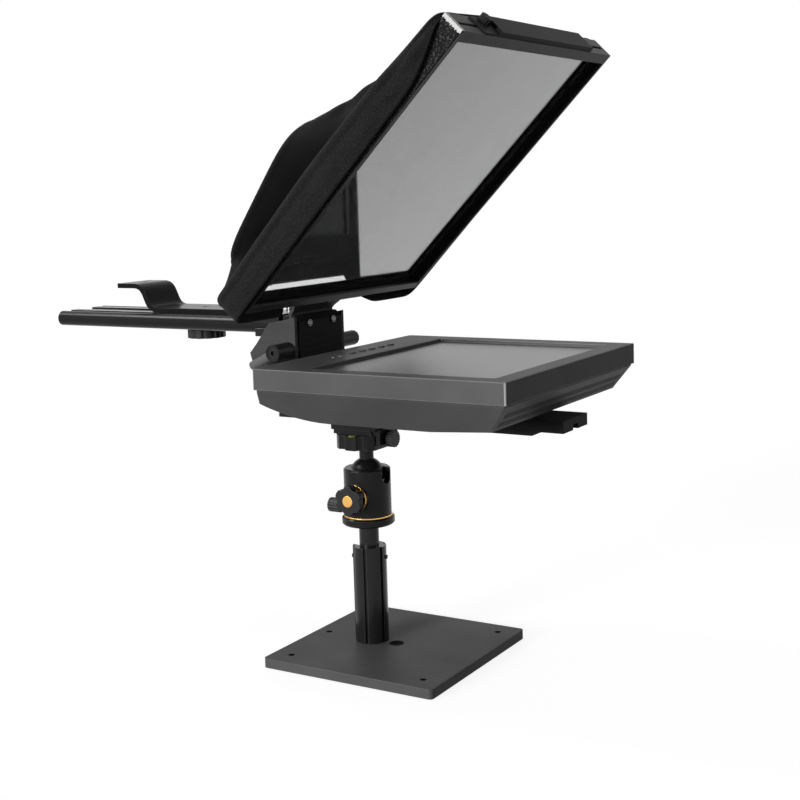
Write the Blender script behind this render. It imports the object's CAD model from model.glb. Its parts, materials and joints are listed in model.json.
"""Dressed scene of a desktop teleprompter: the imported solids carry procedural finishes, and the hood,
felt, loop strips and gasket are made here as soft pieces. Lengths are in millimetres until a point is
placed, and the scene is in metres."""
import json
import math

import bpy
from mathutils import Matrix, Vector, noise


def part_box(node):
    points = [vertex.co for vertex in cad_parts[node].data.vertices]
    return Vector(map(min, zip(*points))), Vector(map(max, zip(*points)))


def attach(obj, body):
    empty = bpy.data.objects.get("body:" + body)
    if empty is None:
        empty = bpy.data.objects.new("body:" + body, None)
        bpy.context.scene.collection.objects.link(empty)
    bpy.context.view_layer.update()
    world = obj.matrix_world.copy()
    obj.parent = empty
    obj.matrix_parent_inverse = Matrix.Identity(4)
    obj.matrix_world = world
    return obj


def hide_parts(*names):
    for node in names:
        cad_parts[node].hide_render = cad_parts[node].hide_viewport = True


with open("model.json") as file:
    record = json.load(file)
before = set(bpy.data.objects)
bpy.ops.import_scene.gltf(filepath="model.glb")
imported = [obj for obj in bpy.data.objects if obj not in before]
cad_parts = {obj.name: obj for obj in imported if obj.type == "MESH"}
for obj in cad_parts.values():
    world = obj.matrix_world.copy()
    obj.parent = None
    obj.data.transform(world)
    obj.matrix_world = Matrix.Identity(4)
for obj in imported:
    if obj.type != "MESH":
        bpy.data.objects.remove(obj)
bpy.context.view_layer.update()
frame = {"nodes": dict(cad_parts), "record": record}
nodes = frame["nodes"]
scene = bpy.context.scene

MM = 0.001
SLANT = math.sqrt(0.5)

# Glass frame and what lines it; the solids' sizes are the source's
HINGE_Y = 83.0
HINGE_Z = 292.05
FRAME_REACH = 52.5
FRAME_BACK = 10.25
FRAME_HALF = 142.5
FRAME_H = 309.5
FRAME_DEPTH = 22.0
FRAME_WALL = 3.0
LIP_T = 2.0
GLASS_BACK = 11.5
GLASS_T = 3.0
GASKET_T = 2.0
GASKET_W = 4.0
FELT_T = 1.0
FELT_CELL = 1.5
FELT_NAP = 0.3
NAP_SCALE = 0.35
STRIP_T = 1.0
STRIP_CELL = 2.0
STRIP_NAP = 0.45
STRIP_LOW = 40.0
STRIP_HIGH = FRAME_H - 1.0
STRIP_EDGE = 1.5

# Hood; its outline has the source's sizes
CLOTH_T = 1.3
COLLAR_HALF = 146.05
COLLAR_BOTTOM = -12.0
COLLAR_HIGH = FRAME_H - 6.0
COLLAR_LOW_DEPTH = 27.0
COLLAR_MID_DEPTH = 32.0
COLLAR_TOP_DEPTH = 25.0
BRACKET_CLEAR = 62.5
BARE_HEIGHT = FRAME_H * 0.8
EDGE_LOW = 1.0
EDGE_RISE = 4.0
BARE_RISE = FRAME_DEPTH + 0.3 - EDGE_RISE
BARE_POWER = 1.5
BRACKET_DEPTH = FRAME_DEPTH + 1.5
MOUTH_HALF = 110.0
MOUTH_H = 158.0
MOUTH_SINK = 14.0
MOUTH_MID = MOUTH_H / 2 - MOUTH_SINK
MOUTH_LOW_DEPTH = 60.0
MOUTH_HIGH_DEPTH = 90.0
MOUTH_POWER = 0.4
LENS_R = 32.0
LENS_RISE = 90.0
SOCK_R = 22.0
SOCK_LEN = 16.0
ELASTIC_R = 2.5
GATHERS = 26
GATHER_DEPTH = 1.6
SIDE_PULL = 14.0
PULL_POWER = 0.7
FOLD_DEPTH = 4.0
FOLD_COUNT = 14
WRINKLE_UP = 0.95
WRINKLE_BACK = 0.31
WRINKLE_LOW = 0.6
WRINKLE_GAIN = 3.4
WRINKLE_LONG = 0.014
WRINKLE_FINE = 0.085
COLLAR_LUMP = 7.0
SLEEVE_LUMP = 9.0
CRUMPLE = 2.2
CORNER_REACH = 30.0
SLEEVE_RUN = 33.0
HEM_RUN = 72.0
TUCK = 34.0
AROUND = 360
COLLAR_ROWS = 16
SLEEVE_ROWS = 40
PANEL_ROWS = 16
SOCK_ROWS = 8
ROLL_ROWS = 8
SEAM_REACH = 0.1
OPEN_NEAR = -136.0
OPEN_FAR = 58.0
OPEN_START = 22.5
OPEN_END = 37.5


def on_frame(x, up, depth):
    """World place of a point in the glass frame's own axes, with depth behind the frame's front."""
    along = FRAME_REACH + up
    behind = FRAME_BACK + depth
    return Vector((x, HINGE_Y + (behind - along) * SLANT, HINGE_Z + (behind + along) * SLANT)) * MM


def clamp01(value):
    return min(1.0, max(0.0, value))


def mix(a, b, t):
    return a + (b - a) * t


def smooth(t):
    t = clamp01(t)
    return t * t * (3 - 2 * t)


def hump(value, middle, width):
    """Smooth bump of height 1."""
    return math.exp(-((value - middle) / width) ** 2)


# Camera, fitted to the photograph's framing: angles in radians, place in metres
CAMERA_PLACE = (-1.059, -0.66205, 0.44174)
CAMERA_YAW = 0.54907
CAMERA_PITCH = -0.11045
CAMERA_ROLL = -0.03047
CAMERA_LENS = 61.166
CAMERA_SENSOR = 36.0
CAMERA_SHIFT = -0.08


def add_camera():
    """Eye level with the glass, looking slightly down."""
    data = bpy.data.cameras.new("camera")
    data.sensor_width = CAMERA_SENSOR
    data.lens = CAMERA_LENS
    data.shift_y = CAMERA_SHIFT
    data.clip_start = 0.05
    data.clip_end = 100.0
    level = math.cos(CAMERA_PITCH)
    ahead = Vector((math.cos(CAMERA_YAW) * level, math.sin(CAMERA_YAW) * level, math.sin(CAMERA_PITCH)))
    turn = ahead.to_track_quat("-Z", "Y").to_matrix().to_4x4() @ Matrix.Rotation(CAMERA_ROLL, 4, "Z")
    camera = bpy.data.objects.new("camera", data)
    camera.matrix_world = Matrix.Translation(CAMERA_PLACE) @ turn
    scene.collection.objects.link(camera)
    scene.camera = camera


# Finishes, with lengths in metres
TONE_SPAN = 0.12
ROUGH_SPAN = 0.08
SLOW_TONE = 18.0
HOLE_SHADE = 0.05
HUB_START = 0.0079
HUB_END = 0.0084
HUB_BLACK = (0.014, 0.014, 0.014)


class Graph:
    """A material with a principled shader and short calls to add and join nodes."""

    def __init__(self, name):
        self.material = bpy.data.materials.new(name)
        self.material.use_nodes = True
        self.tree = self.material.node_tree
        self.shader = self.tree.nodes["Principled BSDF"]

    def add(self, kind, **values):
        node = self.tree.nodes.new(kind)
        for key, value in values.items():
            label = key.replace("_", " ").title()
            if label in node.inputs:
                node.inputs[label].default_value = value
            else:
                setattr(node, key, value)
        return node

    def join(self, source, target):
        self.tree.links.new(source, target)

    def set(self, **values):
        names = {"ior": "IOR", "specular": "Specular IOR Level", "transmission": "Transmission Weight",
                 "coat": "Coat Weight", "coat_roughness": "Coat Roughness", "sheen": "Sheen Weight",
                 "sheen_roughness": "Sheen Roughness", "metallic": "Metallic", "roughness": "Roughness"}
        for key, value in values.items():
            self.shader.inputs[names[key]].default_value = value

    def place(self, stretch=(1, 1, 1)):
        where = self.add("ShaderNodeTexCoord")
        turn = self.add("ShaderNodeMapping", scale=stretch)
        self.join(where.outputs["Object"], turn.inputs["Vector"])
        return turn.outputs["Vector"]

    def cloud(self, place, scale, detail=3.0, roughness=0.5):
        node = self.add("ShaderNodeTexNoise", scale=scale, detail=detail, roughness=roughness)
        self.join(place, node.inputs["Vector"])
        return node.outputs["Fac"]

    def span(self, source, low, high, start=0.3, end=0.7):
        node = self.add("ShaderNodeMapRange", from_min=start, from_max=end, to_min=low, to_max=high)
        self.join(source, node.inputs["Value"])
        return node.outputs["Result"]

    def blend(self, factor, first, second):
        node = self.add("ShaderNodeMix", data_type="RGBA")
        self.join(factor, node.inputs[0])
        for slot, colour in ((6, first), (7, second)):
            if isinstance(colour, tuple):
                node.inputs[slot].default_value = (*colour, 1.0)
            else:
                self.join(colour, node.inputs[slot])
        return node.outputs[2]

    def paint(self, colour):
        self.join(colour, self.shader.inputs["Base Color"])

    def bump(self, height, strength, distance, under=None):
        node = self.add("ShaderNodeBump", strength=strength, distance=distance)
        self.join(height, node.inputs["Height"])
        if under is not None:
            self.join(under, node.inputs["Normal"])
        return node.outputs["Normal"]

    def rounded(self, radius):
        return self.add("ShaderNodeBevel", samples=4, radius=radius).outputs["Normal"]

    def worn_edge(self, round_normal):
        """Mask that is 1 along edges, where the rounded normal leaves the face's own."""
        here = self.add("ShaderNodeNewGeometry")
        dot = self.add("ShaderNodeVectorMath", operation="DOT_PRODUCT")
        self.join(here.outputs["True Normal"], dot.inputs[0])
        self.join(round_normal, dot.inputs[1])
        return self.span(dot.outputs["Value"], 1.0, 0.0, 0.80, 0.995)

    def round_corner(self):
        """Mask that is 1 on upright corners that are rounded in the solid itself."""
        where = self.add("ShaderNodeTexCoord")
        split = self.add("ShaderNodeSeparateXYZ")
        self.join(where.outputs["Normal"], split.inputs["Vector"])
        both = self.add("ShaderNodeMath", operation="MULTIPLY")
        self.join(split.outputs["X"], both.inputs[0])
        self.join(split.outputs["Y"], both.inputs[1])
        size = self.add("ShaderNodeMath", operation="ABSOLUTE")
        self.join(both.outputs["Value"], size.inputs[0])
        return self.span(size.outputs["Value"], 0.0, 1.0, 0.2, 0.42)

    def drilled(self, half):
        """Mask that is 1 on the walls of holes in a flat plate, which lie within half of its middle."""
        where = self.add("ShaderNodeTexCoord")
        place = self.add("ShaderNodeSeparateXYZ")
        self.join(where.outputs["Object"], place.inputs["Vector"])
        reach = self.add("ShaderNodeMath", operation="MAXIMUM")
        for axis, slot in (("X", 0), ("Y", 1)):
            size = self.add("ShaderNodeMath", operation="ABSOLUTE")
            self.join(place.outputs[axis], size.inputs[0])
            self.join(size.outputs["Value"], reach.inputs[slot])
        facing = self.add("ShaderNodeSeparateXYZ")
        self.join(where.outputs["Normal"], facing.inputs["Vector"])
        inside = self.span(reach.outputs["Value"], 1.0, 0.0, half - 0.001, half)
        wall = self.span(facing.outputs["Z"], 1.0, 0.0, 0.8, 0.95)
        both = self.add("ShaderNodeMath", operation="MULTIPLY")
        self.join(inside, both.inputs[0])
        self.join(wall, both.inputs[1])
        return both.outputs["Value"]

    def off_hinge(self):
        """Mask that is 0 on a hub round the hinge's axis and 1 outside it."""
        where = self.add("ShaderNodeTexCoord")
        apart = self.add("ShaderNodeVectorMath", operation="MULTIPLY_ADD")
        apart.inputs[1].default_value = (0.0, 1.0, 1.0)
        apart.inputs[2].default_value = (0.0, -HINGE_Y * MM, -HINGE_Z * MM)
        self.join(where.outputs["Object"], apart.inputs[0])
        reach = self.add("ShaderNodeVectorMath", operation="LENGTH")
        self.join(apart.outputs["Vector"], reach.inputs[0])
        return self.span(reach.outputs["Value"], 0.0, 1.0, HUB_START, HUB_END)


def tinted(colour, factor):
    return tuple(min(1.0, c * factor) for c in colour)


def hard_finish(name, colour, roughness, grain=900.0, depth=0.00002, strength=0.25, stretch=(1, 1, 1),
                edge=1.5, edge_radius=0.0006, corner=0.0, drilled=0.0, hub=False, **sockets):
    """Painted, moulded or metal finish: grain in the bump, slow changes of tone, lighter edges; corner,
    drilled and hub add paler round corners, dark hole walls and a black hub."""
    graph = Graph(name)
    place = graph.place(stretch)
    fine = graph.cloud(place, grain, 4.0, 0.6)
    slow = graph.cloud(place, SLOW_TONE, 3.0)
    round_normal = graph.rounded(edge_radius)
    tone = graph.blend(graph.span(slow, 0.0, 1.0), tinted(colour, 1 - TONE_SPAN),
                       tinted(colour, 1 + TONE_SPAN))
    if corner:
        tone = graph.blend(graph.round_corner(), tone, tinted(colour, corner))
    if drilled:
        tone = graph.blend(graph.drilled(drilled), tone, tinted(colour, HOLE_SHADE))
    tone = graph.blend(graph.worn_edge(round_normal), tone, tinted(colour, edge))
    if hub:
        tone = graph.blend(graph.off_hinge(), HUB_BLACK, tone)
    graph.paint(tone)
    graph.join(graph.span(fine, roughness - ROUGH_SPAN, roughness + ROUGH_SPAN),
               graph.shader.inputs["Roughness"])
    graph.join(graph.bump(fine, strength, depth, round_normal), graph.shader.inputs["Normal"])
    graph.set(**sockets)
    return graph.material


def glass_finish(name):
    """Part-mirror glass: a high index stands for the coating, with faint streaks in the polish."""
    graph = Graph(name)
    streak = graph.cloud(graph.place((1, 4, 4)), 14.0, 4.0)
    graph.join(graph.span(streak, 0.0, 0.03), graph.shader.inputs["Roughness"])
    graph.shader.inputs["Base Color"].default_value = (0.95, 0.96, 0.96, 1.0)
    graph.set(ior=1.74, transmission=1.0)
    return graph.material


def screen_finish(name):
    """Anti-glare screen: fine sparkle in a satin surface."""
    graph = Graph(name)
    place = graph.place()
    sparkle = graph.cloud(place, 2600.0, 2.0)
    slow = graph.cloud(place, 7.0, 2.0)
    graph.paint(graph.blend(graph.span(slow, 0.0, 1.0), (0.040, 0.042, 0.045), (0.055, 0.057, 0.060)))
    graph.join(graph.span(sparkle, 0.24, 0.36), graph.shader.inputs["Roughness"])
    graph.join(graph.bump(sparkle, 0.12, 0.00001), graph.shader.inputs["Normal"])
    graph.set(specular=0.5)
    return graph.material


def knit_finish(name, colour, pitch, depth):
    """Brushed knit: rows and wales from the cloth's own run, fleece, and a darker, smoother sleeve behind
    the collar up to its hem."""
    graph = Graph(name)
    where = graph.add("ShaderNodeTexCoord")
    rows = graph.add("ShaderNodeTexWave", wave_type="BANDS", bands_direction="X", scale=1 / pitch,
                     distortion=1.2, detail=2.0, detail_scale=1.5)
    wales = graph.add("ShaderNodeTexWave", wave_type="BANDS", bands_direction="Y", scale=0.8 / pitch,
                      distortion=1.2, detail=2.0, detail_scale=1.5)
    fuzz = graph.add("ShaderNodeTexNoise", scale=0.6 / pitch, detail=4.0, roughness=0.7)
    fleece = graph.add("ShaderNodeTexNoise", scale=0.5 / pitch, detail=2.0, roughness=0.8)
    patch = graph.add("ShaderNodeTexNoise", scale=0.03 / pitch, detail=4.0, roughness=0.65)
    for node in (rows, wales, fuzz, fleece, patch):
        graph.join(where.outputs["UV"], node.inputs["Vector"])
    weave = graph.add("ShaderNodeMath", operation="MULTIPLY")
    graph.join(rows.outputs["Fac"], weave.inputs[0])
    graph.join(wales.outputs["Fac"], weave.inputs[1])
    height = graph.add("ShaderNodeMath", operation="ADD")
    graph.join(weave.outputs["Value"], height.inputs[0])
    graph.join(fuzz.outputs["Fac"], height.inputs[1])
    thread = graph.blend(graph.span(weave.outputs["Value"], 0.0, 1.0, 0.0, 0.8), tinted(colour, 0.6),
                         tinted(colour, 1.3))
    worn = graph.blend(graph.span(patch.outputs["Fac"], 0.0, 0.6, 0.35, 0.7), thread, tinted(colour, 1.5))
    brushed = graph.blend(graph.span(fleece.outputs["Fac"], 0.0, 0.75, 0.5, 0.75), worn, tinted(colour, 3.2))
    run = graph.add("ShaderNodeSeparateXYZ")
    graph.join(where.outputs["UV"], run.inputs["Vector"])
    behind = graph.span(run.outputs["Y"], 0.0, 0.8, SLEEVE_RUN * MM, (SLEEVE_RUN + 12.0) * MM)
    hem = graph.span(run.outputs["Y"], 0.0, 0.8, HEM_RUN * MM, (HEM_RUN + 30.0) * MM)
    shaded = graph.blend(behind, brushed, tinted(colour, 0.12))
    graph.paint(graph.blend(hem, shaded, thread))
    graph.join(graph.bump(height.outputs["Value"], 0.6, depth), graph.shader.inputs["Normal"])
    graph.set(roughness=0.95, specular=0.08, sheen=0.05, sheen_roughness=0.5)
    return graph.material


def pile_finish(name, colour, scale, depth, dark, light, low=0.5, high=1.1):
    """Felt or loop pile: cells of fibre in the bump; the tops from low to high are lighter."""
    graph = Graph(name)
    place = graph.place()
    cells = graph.add("ShaderNodeTexVoronoi", scale=scale)
    graph.join(place, cells.inputs["Vector"])
    fibre = graph.cloud(place, scale * 2.5, 4.0, 0.7)
    height = graph.add("ShaderNodeMath", operation="ADD")
    graph.join(cells.outputs["Distance"], height.inputs[0])
    graph.join(fibre, height.inputs[1])
    graph.paint(graph.blend(graph.span(height.outputs["Value"], 0.0, 1.0, low, high), tinted(colour, dark),
                            tinted(colour, light)))
    graph.join(graph.bump(height.outputs["Value"], 0.8, depth), graph.shader.inputs["Normal"])
    graph.set(roughness=0.95, specular=0.1, sheen=0.1, sheen_roughness=0.6)
    return graph.material


def make_finishes():
    """One material for each slot of the record, and the kinds of it that a few pieces take."""
    return {
        "powder_coat": hard_finish("powder_coat", (0.100, 0.100, 0.100), 0.55, 1500.0, 0.00004, 0.45,
                                   edge=2.0, edge_radius=0.0009, drilled=0.086, specular=0.05),
        "pad_rubber": hard_finish("pad_rubber", (0.010, 0.010, 0.010), 0.80, 700.0, specular=0.05),
        "black_anodised": hard_finish("black_anodised", (0.012, 0.012, 0.012), 0.22, 2200.0, 0.00001, 0.06,
                                      edge=8.0, specular=0.20),
        "sled_black": hard_finish("sled_black", (0.008, 0.008, 0.008), 0.25, 2200.0, 0.00001, 0.06, edge=10.0,
                                  specular=0.06),
        "rod_black": hard_finish("rod_black", (0.012, 0.012, 0.012), 0.24, 2200.0, 0.00001, 0.06, edge=3.0,
                                 specular=0.1),
        "head_black": hard_finish("head_black", (0.008, 0.008, 0.008), 0.28, 1800.0, 0.00001, 0.15, edge=12.0,
                                  edge_radius=0.0008, specular=0.14),
        "brass_trim": hard_finish("brass_trim", (0.80, 0.46, 0.13), 0.24, 1600.0, 0.00001, 0.15, edge=1.15,
                                  metallic=1.0),
        "knob_black": hard_finish("knob_black", (0.024, 0.024, 0.024), 0.38, 1500.0, 0.00002, 0.3, edge=5.0,
                                  edge_radius=0.0008, specular=0.14),
        "screw_steel": hard_finish("screw_steel", (0.42, 0.42, 0.41), 0.30, 1500.0, 0.00001, 0.2, edge=1.2,
                                   metallic=1.0),
        "black_screw": hard_finish("black_screw", (0.02, 0.02, 0.02), 0.38, 1500.0, 0.00001, 0.2, edge=3.0,
                                   specular=0.12),
        "seat_plastic": hard_finish("seat_plastic", (0.62, 0.62, 0.60), 0.50, 900.0),
        "level_green": hard_finish("level_green", (0.22, 0.26, 0.01), 0.15, 300.0, 0.00001, 0.1, coat=0.3,
                                   coat_roughness=0.05),
        "monitor_grey": hard_finish("monitor_grey", (0.118, 0.118, 0.119), 0.34, 1300.0, 0.00005, 0.5,
                                    edge=3.2, edge_radius=0.0016, corner=5.0, specular=0.01),
        "shell_grey": hard_finish("shell_grey", (0.075, 0.075, 0.076), 0.50, 1300.0, 0.00005, 0.5, edge=2.0,
                                  edge_radius=0.0010, specular=0.05),
        "screw_dark": hard_finish("screw_dark", (0.05, 0.05, 0.05), 0.30, 1500.0, 0.00001, 0.2, edge=12.0,
                                  edge_radius=0.0012, metallic=1.0),
        "button_grey": hard_finish("button_grey", (0.090, 0.090, 0.091), 0.45, 1300.0, 0.00002, 0.3,
                                   specular=0.1),
        "screen": screen_finish("screen"),
        "board_green": hard_finish("board_green", (0.012, 0.09, 0.035), 0.45, 400.0),
        "satin_grey": hard_finish("satin_grey", (0.068, 0.068, 0.069), 0.42, 700.0, 0.00002, 0.35,
                                  stretch=(1, 1, 6), edge=2.4, specular=0.04),
        "lever_grey": hard_finish("lever_grey", (0.13, 0.13, 0.13), 0.42, 1400.0, 0.00002, 0.3, edge=1.6,
                                  hub=True, specular=0.1),
        "lip_grey": hard_finish("lip_grey", (0.060, 0.060, 0.061), 0.40, 1500.0, 0.00002, 0.3, edge=2.0,
                                specular=0.05),
        "cover_black": hard_finish("cover_black", (0.026, 0.026, 0.026), 0.42, 1500.0, 0.00002, 0.3, edge=3.0,
                                   specular=0.015),
        "frame_grey": hard_finish("frame_grey", (0.038, 0.038, 0.039), 0.40, 1500.0, 0.00002, 0.3, edge=3.0,
                                  specular=0.08),
        "felt": pile_finish("felt", (0.0035, 0.0035, 0.0035), 900.0, 0.0002, 0.5, 1.7),
        "part_mirror": glass_finish("part_mirror"),
        "gasket_rubber": hard_finish("gasket_rubber", (0.006, 0.006, 0.006), 0.80, 700.0, specular=0.05),
        "hood_cloth": knit_finish("hood_cloth", (0.014, 0.014, 0.0145), 0.0009, 0.0004),
        "loop_pile": pile_finish("loop_pile", (0.012, 0.012, 0.012), 700.0, 0.0008, 0.3, 7.0, 1.0, 1.4),
    }


# Meshes
def add_mesh(name, points, faces, finish, slot, body, runs=None, smooth_faces=True):
    """A piece from points in metres, which rides on a body and takes a finish."""
    data = bpy.data.meshes.new(name)
    data.from_pydata([tuple(p) for p in points], [], faces)
    if runs is not None:
        layer = data.uv_layers.new(name="run")
        for loop in data.loops:
            layer.data[loop.index].uv = runs[loop.vertex_index]
    for face in data.polygons:
        face.use_smooth = smooth_faces
    data.materials.append(finish)
    data.update()
    piece = bpy.data.objects.new(name, data)
    scene.collection.objects.link(piece)
    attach(piece, body)
    return piece


def slab(low, high, step, lift, face):
    """Points and faces of a closed box in the frame's axes, cut into cells; face is the axis and the side
    of the one that is left uneven, by lift at most."""
    counts = [max(1, round((high[i] - low[i]) / step)) for i in range(3)]
    index = {}
    points = []

    def corner(cell):
        if cell not in index:
            p = [mix(low[i], high[i], cell[i] / counts[i]) for i in range(3)]
            axis, side = face
            inner = all(0 < cell[i] < counts[i] for i in range(3) if i != axis)
            if inner and cell[axis] == (counts[axis] if side > 0 else 0):
                p[axis] -= side * lift * (0.5 + 0.5 * noise.noise(Vector(p) * NAP_SCALE))
            index[cell] = len(points)
            points.append(on_frame(*p))
        return index[cell]

    faces = []
    for axis in range(3):
        a, b = [i for i in range(3) if i != axis]
        for side in (0, counts[axis]):
            for i in range(counts[a]):
                for j in range(counts[b]):
                    loop = []
                    for da, db in ((0, 0), (1, 0), (1, 1), (0, 1)):
                        cell = [0, 0, 0]
                        cell[axis] = side
                        cell[a] = i + da
                        cell[b] = j + db
                        loop.append(corner(tuple(cell)))
                    if (side == 0) != (axis == 1):
                        loop.reverse()
                    faces.append(loop)
    return points, faces


def joined(parts):
    """Points and faces of several parts as one."""
    points = []
    faces = []
    for some_points, some_faces in parts:
        start = len(points)
        points.extend(some_points)
        faces.extend([i + start for i in face] for face in some_faces)
    return points, faces


# Felt, loop strips and gasket
def add_felt(finishes):
    """Four strips on the frame's inner walls, in front of the glass."""
    inner = FRAME_HALF - FRAME_WALL
    front = LIP_T
    back = GLASS_BACK - GLASS_T - GASKET_T
    low = FRAME_WALL
    high = FRAME_H - FRAME_WALL
    top = high - FELT_T
    parts = [
        slab((-inner, low + FELT_T, front), (-inner + FELT_T, top, back), FELT_CELL, FELT_NAP, (0, 1)),
        slab((inner - FELT_T, low + FELT_T, front), (inner, top, back), FELT_CELL, FELT_NAP, (0, -1)),
        slab((-inner, low, front), (inner, low + FELT_T, back), FELT_CELL, FELT_NAP, (1, 1)),
        slab((-inner, top, front), (inner, high, back), FELT_CELL, FELT_NAP, (1, -1)),
    ]
    piece = add_mesh("felt_walls", *joined(parts), finishes["felt"], "felt", "glass", smooth_faces=False)
    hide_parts("felt_lining")


def add_loop_strips(finishes):
    """One strip of loop pile on each of the frame's sides."""
    low = (STRIP_LOW, STRIP_EDGE)
    high = (STRIP_HIGH, FRAME_DEPTH - STRIP_EDGE)
    parts = []
    for side in (-1, 1):
        edges = sorted((side * FRAME_HALF, side * (FRAME_HALF + STRIP_T)))
        parts.append(slab((edges[0], *low), (edges[1], *high), STRIP_CELL, STRIP_NAP, (0, side)))
    piece = add_mesh("loop_pile", *joined(parts), finishes["loop_pile"], "felt", "glass")
    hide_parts("loop_strips")


def add_gasket(finishes):
    """Soft strip between the glass and the felt, with a rounded inner edge."""
    inner = FRAME_HALF - FRAME_WALL
    edge_r = GASKET_T / 2
    near = GLASS_BACK - GLASS_T - GASKET_T
    far = GLASS_BACK - GLASS_T
    low = FRAME_WALL
    high = FRAME_H - FRAME_WALL
    steps = 6
    ring = [(0.0, near), (0.0, far)]
    for i in range(steps + 1):
        angle = math.pi * i / steps
        ring.append((GASKET_W - edge_r + edge_r * math.sin(angle), mix(far, near, (1 - math.cos(angle)) / 2)))
    corners = ((-1, -1), (1, -1), (1, 1), (-1, 1))
    points = []
    for sx, sy in corners:
        for inset, depth in ring:
            edge = low if sy < 0 else high
            points.append(on_frame(sx * (inner - inset), edge - sy * inset, depth))
    count = len(ring)
    faces = []
    for c in range(4):
        d = (c + 1) % 4
        for i in range(count):
            j = (i + 1) % count
            faces.append([c * count + i, c * count + j, d * count + j, d * count + i])
    piece = add_mesh("gasket_strip", points, faces, finishes["gasket_rubber"], "gasket_rubber", "glass",
                     smooth_faces=False)
    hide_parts("glass_gasket")


# Hood
def collar_place(t):
    """Place on the collar's rectangle: t runs from 0 to 4 from the lower near corner."""
    side = int(t) % 4
    f = t - int(t)
    if side == 0:
        return mix(-COLLAR_HALF, COLLAR_HALF, f), COLLAR_BOTTOM
    if side == 1:
        return COLLAR_HALF, mix(COLLAR_BOTTOM, COLLAR_HIGH, f)
    if side == 2:
        return mix(COLLAR_HALF, -COLLAR_HALF, f), COLLAR_HIGH
    return -COLLAR_HALF, mix(COLLAR_HIGH, COLLAR_BOTTOM, f)


def ring_angle(t):
    """Angle round the mouth or the lens opening, with t as on the collar."""
    return math.radians(225 + 90 * t)


def mouth_place(t):
    """Place on the mouth's rounded rectangle, with t as on the collar."""
    angle = ring_angle(t)
    c = math.cos(angle)
    s = math.sin(angle)
    return (math.copysign(abs(c) ** MOUTH_POWER, c) * MOUTH_HALF,
            MOUTH_MID + math.copysign(abs(s) ** MOUTH_POWER, s) * MOUTH_H / 2)


def edge_depth(x, up):
    """Depth of the collar's front edge, which leaves the bracket free and the frame's sides near the top."""
    if up < 0 and abs(x) < BRACKET_CLEAR:
        return BRACKET_DEPTH
    bare = clamp01((up - BARE_HEIGHT) / (COLLAR_HIGH - BARE_HEIGHT))
    return EDGE_LOW + EDGE_RISE * clamp01(up / FRAME_H) + BARE_RISE * bare ** BARE_POWER


def crease_depth(up):
    """Depth of the crease between the collar and the sleeve."""
    f = clamp01(up / FRAME_H)
    ends = mix(COLLAR_LOW_DEPTH, COLLAR_TOP_DEPTH, f)
    return ends + (COLLAR_MID_DEPTH - (COLLAR_LOW_DEPTH + COLLAR_TOP_DEPTH) / 2) * math.sin(math.pi * f)


def mouth_depth(up):
    """Depth of the slanted rear panel."""
    return mix(MOUTH_LOW_DEPTH, MOUTH_HIGH_DEPTH, (up + MOUTH_SINK) / MOUTH_H)


def eased_ring(points, passes):
    """Rounds a closed ring of points by repeated averages of neighbours."""
    count = len(points)
    for _ in range(passes):
        points = [(points[i - 1] + points[i] * 2 + points[(i + 1) % count]) / 4 for i in range(count)]
    return points


def wrinkle(up, depth, seed):
    """Height of the diagonal wrinkles, which gather below the frame's upper corners."""
    across = WRINKLE_BACK * up + WRINKLE_UP * depth
    along = WRINKLE_UP * up - WRINKLE_BACK * depth
    amount = WRINKLE_LOW + WRINKLE_GAIN * smooth((up / FRAME_H - 0.5) / 0.35)
    return amount * noise.noise(Vector((along * WRINKLE_LONG, across * WRINKLE_FINE, seed)))


def tuck_depth(w, up):
    """How far the sleeve's sides step in behind the collar: most in the lower half, none at the mouth."""
    low = smooth((up + 10.0) / 60.0) * (1.0 - 0.75 * smooth((up / FRAME_H - 0.45) / 0.35))
    return TUCK * low * smooth(w / 0.16) * (1.0 - smooth((w - 0.25) / 0.75))


def collar_ring(starts, fronts, v):
    """Ring of the collar at v from its front edge to the crease: puffed, with a rolled edge at either end
    and a seam in front of the rear one."""
    roll = 1.7 * hump(v, 0.9, 0.10) + 0.6 * hump(v, 0.06, 0.07)
    roll -= 0.6 * hump(v, 0.72, 0.035)
    ring = []
    for front, (x, up) in zip(fronts, starts):
        crease = crease_depth(up)
        depth = mix(min(front[0], crease - 1.0), crease, v)
        soft = smooth(v * 2)
        ripple = 0.8 * noise.noise(Vector((x, up, depth * 0.6)) * 0.03)
        push = roll + soft * (0.8 + ripple + wrinkle(up, depth, x * 0.001)) + 1.6 * math.sin(math.pi * v)
        high = smooth((up / FRAME_H - 0.5) / 0.4) * math.sin(math.pi * v) ** 2
        push += COLLAR_LUMP * high * max(0.0, 0.2 + noise.noise(Vector((x * 0.01, up * 0.03, depth * 0.05))))
        push = max(0.0, push)
        if abs(x) > COLLAR_HALF - 0.01:
            ring.append(Vector((x + math.copysign(push, x), up, depth)))
        else:
            ring.append(Vector((x, up + math.copysign(push, up - FRAME_H / 2), depth)))
    return eased_ring(ring, 8)


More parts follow.
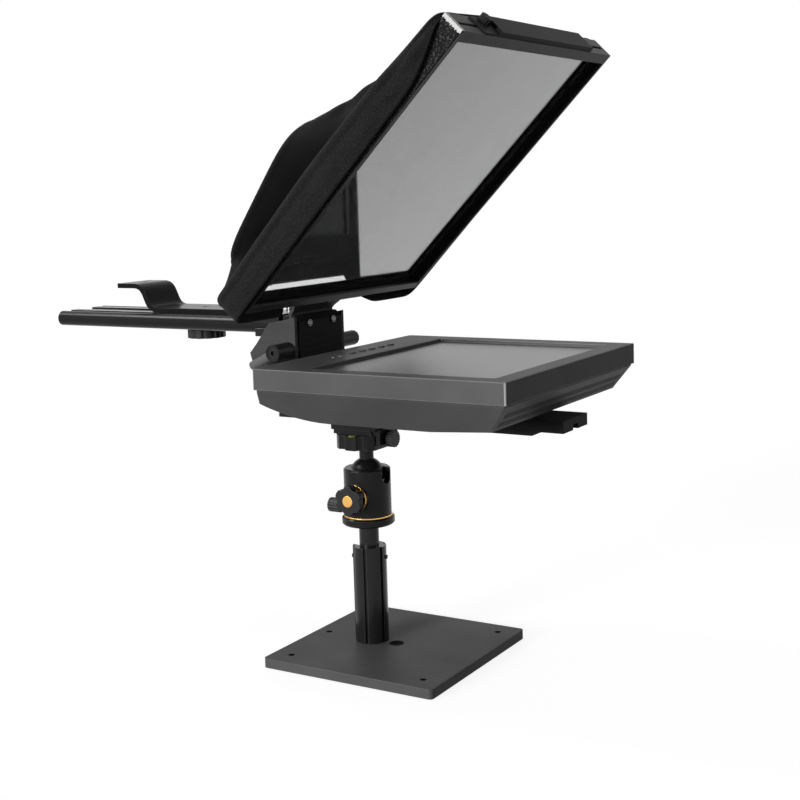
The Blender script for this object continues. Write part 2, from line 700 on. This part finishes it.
def sleeve_ring(starts, ends, w):
    """Ring of the sleeve at w from the crease to the mouth's hem: slack between folds that run to it."""
    eased = w ** PULL_POWER
    pull = 4 * eased * (1 - eased)
    hem = hump(w, 0.97, 0.025)
    ring = []
    for k, ((x, up), (mx, mup)) in enumerate(zip(starts, ends)):
        px = mix(x, mx, w)
        pup = mix(up, mup, w)
        inward = Vector((-px, MOUTH_MID - pup))
        inward.normalize()
        angle = 2 * math.pi * FOLD_COUNT * k / len(starts)
        wobble = noise.noise(Vector((px * 0.02, pup * 0.02, w * 2.0)))
        fold = FOLD_DEPTH * (0.5 + 0.5 * math.cos(angle + 2.4 * wobble))
        depth = mix(crease_depth(up), mouth_depth(mup), w ** 1.1)
        crumple = CRUMPLE * noise.noise(Vector((px, pup, w * 90)) * 0.05) - 1.4 * wrinkle(pup, depth, 4.0)
        bulge = smooth((up / FRAME_H - 0.7) / 0.3) * noise.noise(Vector((px * 0.02, pup * 0.035, w * 3.5)))
        crumple += SLEEVE_LUMP * bulge
        off_corner = (abs(x) - COLLAR_HALF) ** 2 + (up - COLLAR_BOTTOM) ** 2
        slack = 1.0 - 0.9 * math.exp(-off_corner / CORNER_REACH ** 2)
        flat = smooth((up - COLLAR_BOTTOM) / 25.0)
        amount = slack * pull * (4 + flat * (fold + SIDE_PULL * abs(inward[0]) + crumple))
        side = smooth((abs(x) / COLLAR_HALF - 0.7) / 0.3)
        step = math.copysign(tuck_depth(w, up) * side, -x)
        ring.append(Vector((px + step + inward[0] * (amount - hem), pup + inward[1] * (amount - hem), depth)))
    return eased_ring(ring, 5)


def hood_rings():
    """Rings of frame-axis points from the collar's front edge, over the crease and the mouth, to the lens."""
    ts = [4 * k / AROUND for k in range(AROUND)]
    starts = [collar_place(t) for t in ts]
    ends = [mouth_place(t) for t in ts]
    fronts = eased_ring([Vector((edge_depth(*p), 0)) for p in starts], 6)
    rings = [collar_ring(starts, fronts, row / COLLAR_ROWS) for row in range(COLLAR_ROWS + 1)]
    rings += [sleeve_ring(starts, ends, row / SLEEVE_ROWS) for row in range(1, SLEEVE_ROWS + 1)]
    return rings + panel_rings(ts, rings[-1])


def lens_ring(ts, reach, back, pucker):
    """Ring round the lens opening's axis; reach is its radius and back its place behind the panel."""
    ring = []
    for t in ts:
        angle = ring_angle(t)
        here = reach + pucker * math.cos(GATHERS * angle)
        up = LENS_RISE + here * math.sin(angle)
        ring.append(Vector((here * math.cos(angle), up, mouth_depth(up) + back)))
    return ring


def panel_rings(ts, hem):
    """Rings of the rear panel, which is gathered into a short sock with an elastic round the lens opening."""
    target = lens_ring(ts, LENS_R, 0.0, 0.0)
    rings = []
    for row in range(1, PANEL_ROWS + 1):
        w = row / PANEL_ROWS
        ring = []
        for t, start, end in zip(ts, hem, target):
            angle = ring_angle(t)
            x = mix(start[0], end[0], w)
            up = mix(start[1], end[1], w)
            drift = noise.noise(Vector((x, up, 7.0)) * 0.03)
            gather = GATHER_DEPTH * smooth(w * 1.4) * math.cos(GATHERS * angle + 3.0 * drift * (1 - w))
            sag = (1.6 * drift - 3.0) * math.sin(math.pi * w)
            ring.append(Vector((x, up, mouth_depth(up) + gather * (1 - 0.6 * w) + sag)))
        rings.append(ring)
    for row in range(1, SOCK_ROWS + 1):
        w = row / SOCK_ROWS
        rings.append(lens_ring(ts, mix(LENS_R, SOCK_R + ELASTIC_R, smooth(w)), SOCK_LEN * w, 0.9))
    for row in range(1, ROLL_ROWS + 1):
        turn = 1.5 * math.pi * row / ROLL_ROWS
        reach = SOCK_R + ELASTIC_R * math.cos(turn)
        rings.append(lens_ring(ts, reach, SOCK_LEN + ELASTIC_R * math.sin(turn), 0.7))
    return rings


def add_hood(finishes):
    """The hood in one cloth; its floor stays open behind the frame's bottom, where the bracket passes."""
    rings = hood_rings()
    runs = []
    points = []
    along = [0.0] * (AROUND + 1)
    for row, ring in enumerate(rings):
        reach = 0.0
        for k in range(AROUND + 1):
            here = ring[k % AROUND]
            if k:
                reach += (rings[0][k % AROUND] - rings[0][k - 1]).length
            if row:
                along[k] += (here - rings[row - 1][k % AROUND]).length
            points.append(on_frame(*here))
            runs.append((reach * MM, along[k] * MM))
    width = AROUND + 1
    faces = []
    for row in range(len(rings) - 1):
        for k in range(AROUND):
            x, _, depth = rings[row][k]
            low = k < AROUND / 4 and row <= SLEEVE_ROWS + COLLAR_ROWS
            if low and OPEN_NEAR < x < OPEN_FAR and OPEN_START < depth < OPEN_END:
                continue
            a = row * width + k
            faces.append([a, a + 1, a + width + 1, a + width])
    piece = add_mesh("hood_cloth", points, faces, finishes["hood_cloth"], "hood_cloth", "glass", runs)
    weld = piece.modifiers.new("seam", "WELD")
    weld.merge_threshold = SEAM_REACH * MM
    thick = piece.modifiers.new("thickness", "SOLIDIFY")
    thick.thickness = CLOTH_T * MM
    thick.offset = -1.0
    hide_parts("hood")


# Small pieces on the frame and the monitor
TAPE_CELLS = 36
TAPE_INSET = 0.6
TAPE_W = 3.4
TAPE_RAG = 2.2
TAPE_OUT = STRIP_T + 0.3
TAPE_FOLD = 2.6
TAPE_TOP = FRAME_H + 0.05
TAPE_T = 0.2
INDICATOR_XS = (-48.0, -37.0)
INDICATOR_Y = 28.5
INDICATOR_R = 1.2
INDICATOR_H = 0.4
INDICATOR_RINGS = 5
INDICATOR_SIDES = 20


def add_tape_edge(finishes):
    """Ragged pale tape end on the frame's near upper corner, over the loop strip and folded onto the top."""
    points = []
    for i in range(TAPE_CELLS + 1):
        depth = mix(TAPE_INSET, FRAME_DEPTH - TAPE_INSET, i / TAPE_CELLS)
        ragged = TAPE_W + TAPE_RAG * noise.noise(Vector((depth * 0.9, 3.0, 1.0)))
        for up, out in ((FRAME_H - ragged, TAPE_OUT), (TAPE_TOP, TAPE_OUT), (TAPE_TOP, -TAPE_FOLD)):
            points.append(on_frame(-FRAME_HALF - out, up, depth))
    faces = []
    for i in range(TAPE_CELLS):
        for j in range(2):
            a = i * 3 + j
            faces.append([a, a + 3, a + 4, a + 1])
    piece = add_mesh("tape_edge", points, faces, finishes["seat_plastic"], "seat_plastic", "glass",
                     smooth_faces=False)
    thick = piece.modifiers.new("thickness", "SOLIDIFY")
    thick.thickness = TAPE_T * MM


def add_indicators(finishes):
    """Two small indicator lenses beside the buttons."""
    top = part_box("monitor_bezel")[1][2]
    for number, x in enumerate(INDICATOR_XS, 1):
        points = []
        for i in range(INDICATOR_RINGS):
            tilt = math.pi / 2 * i / INDICATOR_RINGS
            for j in range(INDICATOR_SIDES):
                turn = 2 * math.pi * j / INDICATOR_SIDES
                points.append(Vector((x * MM + INDICATOR_R * MM * math.cos(tilt) * math.cos(turn),
                                      INDICATOR_Y * MM + INDICATOR_R * MM * math.cos(tilt) * math.sin(turn),
                                      top + INDICATOR_H * MM * math.sin(tilt))))
        points.append(Vector((x * MM, INDICATOR_Y * MM, top + INDICATOR_H * MM)))
        faces = []
        for i in range(INDICATOR_RINGS):
            for j in range(INDICATOR_SIDES):
                a = i * INDICATOR_SIDES + j
                b = i * INDICATOR_SIDES + (j + 1) % INDICATOR_SIDES
                if i < INDICATOR_RINGS - 1:
                    faces.append([a, b, b + INDICATOR_SIDES, a + INDICATOR_SIDES])
                else:
                    faces.append([a, b, INDICATOR_RINGS * INDICATOR_SIDES])
        add_mesh("indicator_%d" % number, points, faces, finishes["seat_plastic"], "seat_plastic", "upper")


# Stage
FLOOR_HALF = 30.0
FLOOR_GREY = (0.25, 0.25, 0.25, 1.0)
FLOOR_GLOW = 0.893
WORLD_LIGHT = 0.10
WHITE = (1.0, 1.0, 1.0, 1.0)


def seen_mask(tree):
    """Mask that is 1 for what the camera sees straight, in a reflection or through glass."""
    path = tree.nodes.new("ShaderNodeLightPath")
    total = path.outputs["Is Camera Ray"]
    for ray in ("Is Glossy Ray", "Is Transmission Ray"):
        node = tree.nodes.new("ShaderNodeMath")
        node.operation = "ADD"
        node.use_clamp = True
        tree.links.new(total, node.inputs[0])
        tree.links.new(path.outputs[ray], node.inputs[1])
        total = node.outputs["Value"]
    return total


def add_floor():
    """Floor that looks white and keeps the object's shadow."""
    data = bpy.data.meshes.new("floor")
    corners = [(x * FLOOR_HALF, y * FLOOR_HALF, 0) for x, y in ((-1, -1), (1, -1), (1, 1), (-1, 1))]
    data.from_pydata(corners, [], [(0, 1, 2, 3)])
    graph = Graph("floor")
    graph.shader.inputs["Base Color"].default_value = FLOOR_GREY
    graph.set(roughness=0.9, specular=0.0)
    level = graph.add("ShaderNodeMath", operation="MULTIPLY")
    level.inputs[1].default_value = FLOOR_GLOW
    graph.join(seen_mask(graph.tree), level.inputs[0])
    graph.shader.inputs["Emission Color"].default_value = WHITE
    graph.join(level.outputs["Value"], graph.shader.inputs["Emission Strength"])
    data.materials.append(graph.material)
    floor = bpy.data.objects.new("floor", data)
    scene.collection.objects.link(floor)


def add_world():
    """White to look at, and a weak even light on the object."""
    world = bpy.data.worlds.new("studio")
    world.use_nodes = True
    tree = world.node_tree
    background = tree.nodes["Background"]
    background.inputs["Color"].default_value = WHITE
    level = tree.nodes.new("ShaderNodeMapRange")
    level.inputs["To Min"].default_value = WORLD_LIGHT
    level.inputs["To Max"].default_value = 1.0
    tree.links.new(seen_mask(tree), level.inputs["Value"])
    tree.links.new(level.outputs["Result"], background.inputs["Strength"])
    scene.world = world


def add_sun(name, towards, spread, strength, matte=True, gloss=True):
    """Soft light from far away, so that the floor is lit evenly; towards points at the light."""
    data = bpy.data.lights.new(name, "SUN")
    data.angle = math.radians(spread)
    data.energy = strength
    light = bpy.data.objects.new(name, data)
    light.rotation_euler = (-Vector(towards)).to_track_quat("-Z", "Y").to_euler()
    light.visible_diffuse = matte
    light.visible_glossy = gloss
    scene.collection.objects.link(light)


def add_lights():
    """Key from the near side, weak lights from above and the front, sheen on tops, fill on the far side."""
    add_sun("key", (-0.95, 0.22, 0.22), 22.0, 3.0)
    add_sun("top", (-0.08, 0.52, 0.85), 6.0, 0.24)
    add_sun("edge", (0.55, -0.80, 0.22), 14.0, 0.25)
    add_sun("sheen", (-0.29, 0.50, 0.82), 30.0, 4.0, matte=False)
    add_sun("fill", (0.80, 0.58, 0.12), 30.0, 1.6, gloss=False)


# Pieces that take a darker or paler kind of their slot's finish
KINDS = {
    "monitor_shell": "shell_grey",
    "block_screws": "screw_dark",
    "rods": "rod_black",
    "camera_sled": "sled_black",
    "top_rail": "lip_grey",
    "tilt_block": "cover_black",
    "top_retainer": "cover_black",
    "retainer_screw": "cover_black",
    "base_rail": "cover_black",
    "rail_plate": "cover_black",
}


def dress(finishes):
    """Each solid takes the finish of its slot, or its own kind of it."""
    slots = {row["node"]: row["material_slot"] for row in frame["record"]["subparts"]}
    slots.update(KINDS)
    for name, solid in nodes.items():
        solid.data.materials.clear()
        solid.data.materials.append(finishes[slots[name]])


scene.view_settings.view_transform = "Standard"
add_camera()
add_world()
add_floor()
add_lights()
finishes = make_finishes()
dress(finishes)
add_felt(finishes)
add_loop_strips(finishes)
add_gasket(finishes)
add_hood(finishes)
add_tape_edge(finishes)
add_indicators(finishes)
